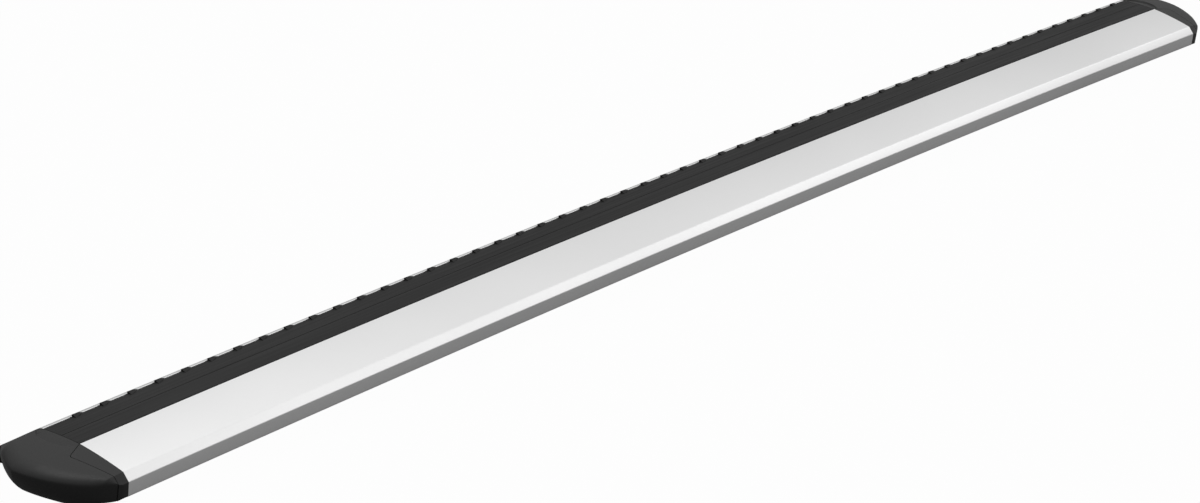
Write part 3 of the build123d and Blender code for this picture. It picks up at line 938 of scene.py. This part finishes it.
def scoop_edge(inset, across):
    """How far outwards the scoop reaches, by halving a span that holds its edge."""
    level = wing_heights(inset, across)[0]
    low, high = np.full(across.shape, -20.0), np.full(across.shape, 40.0)
    for _ in range(EDGE_TURNS):
        middle = (low + high) / 2
        inside = scoop_height(middle, across) < drooped(level, middle)
        low, high = np.where(inside, middle, low), np.where(inside, high, middle)
    return low


def lid_grid(sizes, inset, places):
    """The lid's skin moved in by inset, as a grid of points: out, across and up.

    A column starts at the edge of the lid's top, runs outwards over the top, round the rim,
    down the wall, and back along the underside. The rim is a conic arc between a point of the
    top and a point of the wall. Rows and columns fall on the scoop's edge and on the notches.
    """
    rim_out, rim_across, rim_up = wall_end(sizes, inset, places, 0)
    foot_out, foot_across, foot_up = wall_end(sizes, inset, places, 1)
    radius = np.interp(rim_out, (LID_START, RIM_FULL_OUT), (RIM_LEAST, sizes.rim_radius / MM))
    if inset:
        radius = radius * RIM_INSIDE
    start = lid_start(rim_across)
    room = rim_out - start
    ease = np.minimum(RIM_REACH * radius, EASE_MOST * room)
    crease = np.maximum(scoop_edge(inset, rim_across), start + CREASE_LEAST * room)
    crease = np.minimum(crease, start + CREASE_MOST * room)
    first = 1 - (1 - np.linspace(0, 1, TOP_ROWS[0] + 1)[:-1, None]) ** 2
    second = np.linspace(0, 1, TOP_ROWS[1] + 1)[:, None] ** 0.85
    out = np.vstack([start + first * (crease - start), crease + second * (rim_out - ease - crease)])
    across = np.broadcast_to(rim_across, out.shape)
    up = drooped(wing_heights(inset, rim_across)[0], out)
    if not inset:
        up = up - scoop_depth(out, start, scoop_edge(inset, rim_across))
    top = np.stack([out, across, up], axis=-1)

    drop = np.minimum(radius, DROP_MOST * (rim_up - foot_up))
    depth = CAP_UNDER_DEPTH - inset
    first_turn = np.arcsin((CAP_WIDEST - rim_up + drop) / depth)
    last_turn = np.arcsin((CAP_WIDEST - foot_up) / depth)
    widest, _ = wall_point(sizes, inset, places, np.full(places.shape, CAP_WIDEST))
    notch_turn = np.arcsin(share_fall(np.minimum(NOTCH_OUT / widest, NOTCH_SHARE)))
    notch_turn = np.minimum(notch_turn, last_turn - NOTCH_LEFT * (last_turn - first_turn))
    third = np.linspace(0, 1, WALL_ROWS[0] + 1)[:-1, None]
    fourth = np.linspace(0, 1, WALL_ROWS[1] + 1)[:, None]
    turn = np.vstack(
        [
            first_turn + third * (notch_turn - first_turn),
            notch_turn + fourth * (last_turn - notch_turn),
        ]
    )
    up = CAP_WIDEST - depth * np.sin(turn)
    out, across = wall_point(sizes, inset, np.broadcast_to(places, up.shape), up)
    wall = np.stack([out, across, up], axis=-1)

    share = np.linspace(0, 1, RIM_ROWS + 1)[1:-1, None, None]
    weights = (1 - share) ** 2, 2 * RIM_FULLNESS * share * (1 - share), share**2
    corner = np.stack([rim_out, rim_across, rim_up], axis=-1)
    rim = (weights[0] * top[-1] + weights[1] * corner + weights[2] * wall[0]) / sum(weights)

    share = np.linspace(0, 1, FOOT_ROWS + 1)[1:, None]
    out = foot_out + share * (np.minimum(foot_out, LID_START + 0.2) - foot_out)
    across = np.broadcast_to(foot_across, out.shape)
    up = drooped(wing_heights(inset, foot_across)[1], out)
    under = np.stack([out, across, up], axis=-1)

    grid = np.vstack([top, rim, wall, under])
    # The lid's edge over the hinge is cut back to a round about the pin
    beside = np.maximum(HINGE[0] - grid[..., 0], 0)
    swept_up = HINGE[1] - np.sqrt(np.maximum(HINGE_SWEEP**2 - beside**2, 0))
    swept_up += HINGE_SWEEP_INSIDE * np.sign(inset)
    grid[..., 2] = np.where(beside > 0, np.maximum(grid[..., 2], swept_up), grid[..., 2])
    return grid


def lid_knots(sizes, inset):
    """Places of the corners of the lid's edge and of the notches' sides, and where those lie."""
    fine = np.linspace(-1, 1, 4001)
    rim_across = wall_end(sizes, inset, fine, 0)[1]
    foot_across = wall_end(sizes, inset, fine, 1)[1]
    beside = np.array([-EAR_POINT[1], -SLOT_HALF, SLOT_HALF, EAR_POINT[1]])
    corners = np.interp([*(TRACK_Y + beside), *EAR_ENDS], rim_across, fine)
    notches = np.interp(TRACK_Y + np.array(NOTCH_SIDES), foot_across, fine)
    return np.sort([-1, 0, 1, *corners, *notches]), notches


def lid_columns(knots, counts):
    """Places between the knots, this many in each span, with every knot among them."""
    spans = [np.linspace(a, b, n, endpoint=False) for a, b, n in zip(knots, knots[1:], counts)]
    return np.concatenate([*spans, [1.0]])


def shell(outer, inner, kept):
    """Points and faces of the wall between two grids, over the cells that are kept.

    Every edge between a kept cell and one that is left out gets a strip from grid to grid.
    """
    rows, columns = outer.shape[:2]
    index = np.arange(rows * columns).reshape(rows, columns)
    cells = np.stack([index[:-1, :-1], index[1:, :-1], index[1:, 1:], index[:-1, 1:]], axis=-1)
    skin = cells[kept]
    padded = np.pad(kept, 1)
    row, column = np.nonzero(padded[1:, 1:-1] != padded[:-1, 1:-1])
    across = np.stack([index[row, column], index[row, column + 1]], axis=-1)
    row, column = np.nonzero(padded[1:-1, 1:] != padded[1:-1, :-1])
    along = np.stack([index[row, column], index[row + 1, column]], axis=-1)
    edges = np.vstack([across, along])
    strips = np.hstack([edges, edges[:, ::-1] + rows * columns])
    points = np.vstack([outer.reshape(-1, 3), inner.reshape(-1, 3)])
    return points, np.vstack([skin, skin[:, ::-1] + rows * columns, strips]).tolist()


def lid_shell(sizes):
    """Points and faces of the lid's wall, with a notch for each lug of the base."""
    outer_knots, notches = lid_knots(sizes, 0)
    counts = np.maximum(2, np.round(np.diff(outer_knots) * LID_COLUMNS / 2)).astype(int)
    columns = lid_columns(outer_knots, counts)
    outer = lid_grid(sizes, 0, columns)
    inner = lid_grid(sizes, CAP_WALL, lid_columns(lid_knots(sizes, CAP_WALL)[0], counts))
    kept = np.ones((outer.shape[0] - 1, outer.shape[1] - 1), bool)
    notch_row = TOP_ROWS[0] + TOP_ROWS[1] + RIM_ROWS + WALL_ROWS[0]
    sides = np.abs(columns[:, None] - notches).argmin(axis=0)
    kept[notch_row:, sides[0] : sides[1]] = False
    kept[notch_row:, sides[2] : sides[3]] = False
    return shell(outer, inner, kept)


def lid_lug(sizes, beside):
    """Points and faces of one lug of the lid: an eye round the pin and an arm down the wall.

    The eye is half a circle, and the arm's lower line follows the wall's own line, inside its
    thickness.
    """
    near, far = TRACK_Y + beside * LID_LUG[0], TRACK_Y + beside * LID_LUG[1]
    power, half = wall_line(0, far > CAP_TIP_Y)
    widest = sizes.cap_length / MM * (1 - (abs(far - CAP_TIP_Y) / half) ** power) ** (1 / power)
    out = np.linspace(HINGE[0], LUG_REACH, 7)[1:]
    lower = CAP_WIDEST - CAP_UNDER_DEPTH * share_fall(out / widest) + 0.9
    upper = np.maximum(HINGE[1] + LUG_RADIUS, lower + 0.3)
    turn = np.linspace(pi / 2, 3 * pi / 2, 17)
    eye = np.stack([np.cos(turn), np.sin(turn)], axis=1) * LUG_RADIUS + HINGE
    arm = np.stack([np.append(out, out[::-1]), np.append(lower, upper[::-1])], axis=1)
    ring = np.linspace(0, 2 * pi, 24, endpoint=False)
    hole = np.stack([np.cos(ring), np.sin(ring)], axis=1) * PIN_HOLE + HINGE
    across = np.array([near, far])[:, None]
    return swept(
        [np.vstack([eye, arm]), hole],
        lambda loop: np.stack(
            np.broadcast_arrays(loop[None, :, 0], across, loop[None, :, 1]), axis=-1
        ),
    )


def joined(parts):
    """Points and faces of several parts as one."""
    first = np.cumsum([0] + [len(points) for points, _ in parts])
    faces = [
        [corner + start for corner in face]
        for start, (_, part) in zip(first, parts)
        for face in part
    ]
    return np.vstack([points for points, _ in parts]), faces


class CROSSBAR_OT_lids(bpy.types.Operator):
    """Build the two hinged lids of the end caps, each with its lugs"""

    bl_idname = "crossbar.lids"
    bl_label = "Cap Lids"

    def execute(self, context):
        sizes = context.scene.crossbar_sizes
        colours = context.scene.crossbar_colours
        finish = material("moulded_cap_plastic", cap_plastic, colours.plastic)
        parts = [lid_shell(sizes), lid_lug(sizes, -1), lid_lug(sizes, 1)]
        points, faces = joined(parts)
        for name, side in (("left", -1), ("right", 1)):
            place = cap_point(sizes, side, *points.T)
            lid = f"{name}_lid"
            piece = new_piece(f"{lid}_shell", place, faces, finish, lid, sharp=LID_SHARP)
            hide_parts(f"{name}_cap_lid")
        return {"FINISHED"}


class CROSSBAR_OT_bases(bpy.types.Operator):
    """Finish the bases of the end caps, their pins and their screws"""

    bl_idname = "crossbar.bases"
    bl_label = "Cap Bases, Pins and Screws"

    def execute(self, context):
        colours = context.scene.crossbar_colours
        plastic = material("moulded_cap_plastic", cap_plastic, colours.plastic)
        steel = material("turned_steel", plain_steel, colours.steel)
        for side in ("left", "right"):
            finish_packed(f"{side}_cap_base", plastic)
            finish_packed(f"{side}_hinge_pins", steel)
            finish_packed(f"{side}_cap_screws", steel)
        return {"FINISHED"}


# Light of the studio: the world's at the horizon and overhead, and the height of its direction
# where it is full, the floor's to the camera and to metal, and half the floor's side in metres
WORLD_HORIZON = 0.3
WORLD_ZENITH = 0.95
FLOOR_WHITE = 0.98
WORLD_FULL_HEIGHT = 0.62
FLOOR_GLOSS = 0.05
FLOOR_HALF = 6.0

# Lamps: where each stands, where it faces, its two sides and its power
TOP_LIGHT = ((-0.35, 0.1, 1.6), (-0.3, 0, 0), (1.1, 0.8), 9.0)
EDGE_LIGHT = ((1.9, -1.0, 1.2), (0.2, 0, 0), (2.2, 0.8), 4.0)

# Where the photograph was taken from
CAMERA_PLACE = (-1.894325, -1.191564, 0.833313)
CAMERA_TURN = -56.44
CAMERA_ELEVATION = 20.91
CAMERA_ROLL = 5.96
FOCAL_PIXELS = 4085.47
PICTURE_WIDTH = 1200
SENSOR_WIDTH = 36.0


def camera_matrix():
    """The camera's turn about Z, its elevation and its roll, with its place, as one matrix."""
    turn, tilt, roll = radians(CAMERA_TURN), radians(CAMERA_ELEVATION), radians(CAMERA_ROLL)
    back = np.array([sin(turn) * cos(tilt), -cos(turn) * cos(tilt), sin(tilt)])
    right = np.array([cos(turn), sin(turn), 0])
    up = np.cross(back, right)
    rolled_right = cos(roll) * right + sin(roll) * up
    rolled_up = -sin(roll) * right + cos(roll) * up
    matrix = Matrix(np.stack([rolled_right, rolled_up, back], axis=1).tolist()).to_4x4()
    matrix.translation = CAMERA_PLACE
    return matrix


def white_floor(colour):
    """Pale floor: white to the camera apart from the shadow, and its own colour to the light."""
    floor = bpy.data.materials.new("pale_floor")
    floor.use_nodes = True
    tree = floor.node_tree
    new, link = tree.nodes.new, tree.links.new
    tree.nodes.clear()
    output = new("ShaderNodeOutputMaterial")
    diffuse = new("ShaderNodeBsdfDiffuse")
    diffuse.inputs["Color"].default_value = (*colour, 1)
    glow = new("ShaderNodeEmission")
    glow.inputs["Strength"].default_value = 1.0
    mix = new("ShaderNodeMixShader")
    path = new("ShaderNodeLightPath")
    seen, mirrored, direct = (new("ShaderNodeMath") for _ in range(3))
    seen.operation = "MULTIPLY_ADD"
    seen.inputs[1].default_value = FLOOR_GLOSS
    mirrored.operation = "MAXIMUM"
    link(path.outputs["Is Glossy Ray"], mirrored.inputs[0])
    link(path.outputs["Is Transmission Ray"], mirrored.inputs[1])
    direct.operation = "MULTIPLY"
    direct.inputs[1].default_value = FLOOR_WHITE
    link(path.outputs["Is Camera Ray"], direct.inputs[0])
    link(mirrored.outputs[0], seen.inputs[0])
    link(direct.outputs[0], seen.inputs[2])
    link(seen.outputs[0], mix.inputs[0])
    link(diffuse.outputs[0], mix.inputs[1])
    link(glow.outputs[0], mix.inputs[2])
    link(mix.outputs[0], output.inputs["Surface"])
    return floor


def white_world():
    """White to the camera, and otherwise a soft light that grows from the horizon upwards."""
    world = bpy.data.worlds.new("studio")
    bpy.context.scene.world = world
    world.use_nodes = True
    tree = world.node_tree
    new, link = tree.nodes.new, tree.links.new
    background = tree.nodes["Background"]
    background.inputs["Color"].default_value = (1, 1, 1, 1)
    direction = new("ShaderNodeTexCoord")
    parts = new("ShaderNodeSeparateXYZ")
    height = new("ShaderNodeMapRange")
    height.interpolation_type = "SMOOTHSTEP"
    set_range(height, 0.0, WORLD_FULL_HEIGHT, WORLD_HORIZON, WORLD_ZENITH)
    path = new("ShaderNodeLightPath")
    strength = new("ShaderNodeMix")
    strength.inputs["B"].default_value = 1.0
    link(direction.outputs["Generated"], parts.inputs["Vector"])
    link(parts.outputs["Z"], height.inputs["Value"])
    link(path.outputs["Is Camera Ray"], strength.inputs["Factor"])
    link(height.outputs["Result"], strength.inputs["A"])
    link(strength.outputs["Result"], background.inputs["Strength"])


def soft_lamp(name, place, target, size, power):
    """An area lamp that faces its target."""
    lamp = bpy.data.lights.new(name, "AREA")
    lamp.shape = "RECTANGLE"
    lamp.size, lamp.size_y = size
    lamp.energy = power
    holder = bpy.data.objects.new(name, lamp)
    bpy.context.scene.collection.objects.link(holder)
    back = np.array(place, float) - target
    back /= np.linalg.norm(back)
    right = np.cross((0, 0, 1), back)
    right /= np.linalg.norm(right)
    matrix = Matrix(np.stack([right, np.cross(back, right), back], axis=1).tolist()).to_4x4()
    matrix.translation = place
    holder.matrix_world = matrix
    return holder


class CROSSBAR_OT_stage(bpy.types.Operator):
    """Set up the floor, the light and the camera"""

    bl_idname = "crossbar.stage"
    bl_label = "Floor, Light and Camera"

    def execute(self, context):
        scene = context.scene
        scene.view_settings.view_transform = "Standard"
        half = FLOOR_HALF
        mesh = bpy.data.meshes.new("floor")
        corners = [(-half, -half, 0), (half, -half, 0), (half, half, 0), (-half, half, 0)]
        mesh.from_pydata(corners, [], [(0, 1, 2, 3)])
        mesh.materials.append(white_floor(tuple(scene.crossbar_colours.floor)))
        floor = bpy.data.objects.new("floor", mesh)
        scene.collection.objects.link(floor)
        white_world()
        soft_lamp("top_light", *TOP_LIGHT)
        soft_lamp("edge_light", *EDGE_LIGHT)
        camera = bpy.data.cameras.new("camera")
        camera.sensor_fit = "HORIZONTAL"
        camera.sensor_width = SENSOR_WIDTH
        camera.lens = FOCAL_PIXELS / PICTURE_WIDTH * camera.sensor_width
        camera.clip_start = 0.01
        holder = bpy.data.objects.new("camera", camera)
        scene.collection.objects.link(holder)
        holder.matrix_world = camera_matrix()
        scene.camera = holder
        return {"FINISHED"}


OPERATORS = (
    CROSSBAR_OT_extrusion,
    CROSSBAR_OT_strips,
    CROSSBAR_OT_lids,
    CROSSBAR_OT_bases,
    CROSSBAR_OT_stage,
)


class CROSSBAR_PT_panel(bpy.types.Panel):
    """The crossbar's sizes, colours and pieces in the sidebar."""

    bl_idname = "CROSSBAR_PT_panel"
    bl_label = "Crossbar"
    bl_space_type = "VIEW_3D"
    bl_region_type = "UI"
    bl_category = "Crossbar"

    def draw(self, context):
        layout = self.layout
        for group in (context.scene.crossbar_sizes, context.scene.crossbar_colours):
            box = layout.box()
            for name in group.__annotations__:
                box.prop(group, name)
        for operator in OPERATORS:
            layout.operator(operator.bl_idname)


CLASSES = (CrossbarSizes, CrossbarColours, *OPERATORS, CROSSBAR_PT_panel)


def register():
    """Make the classes and the two property groups known to Blender."""
    for kind in CLASSES:
        bpy.utils.register_class(kind)
    bpy.types.Scene.crossbar_sizes = PointerProperty(type=CrossbarSizes)
    bpy.types.Scene.crossbar_colours = PointerProperty(type=CrossbarColours)


def unregister():
    """Take the classes and the two property groups out again."""
    del bpy.types.Scene.crossbar_colours
    del bpy.types.Scene.crossbar_sizes
    for kind in reversed(CLASSES):
        bpy.utils.unregister_class(kind)


def main():
    """Register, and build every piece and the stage."""
    register()
    bpy.ops.crossbar.extrusion()
    bpy.ops.crossbar.strips()
    bpy.ops.crossbar.lids()
    bpy.ops.crossbar.bases()
    bpy.ops.crossbar.stage()


if __name__ == "__main__":
    main()
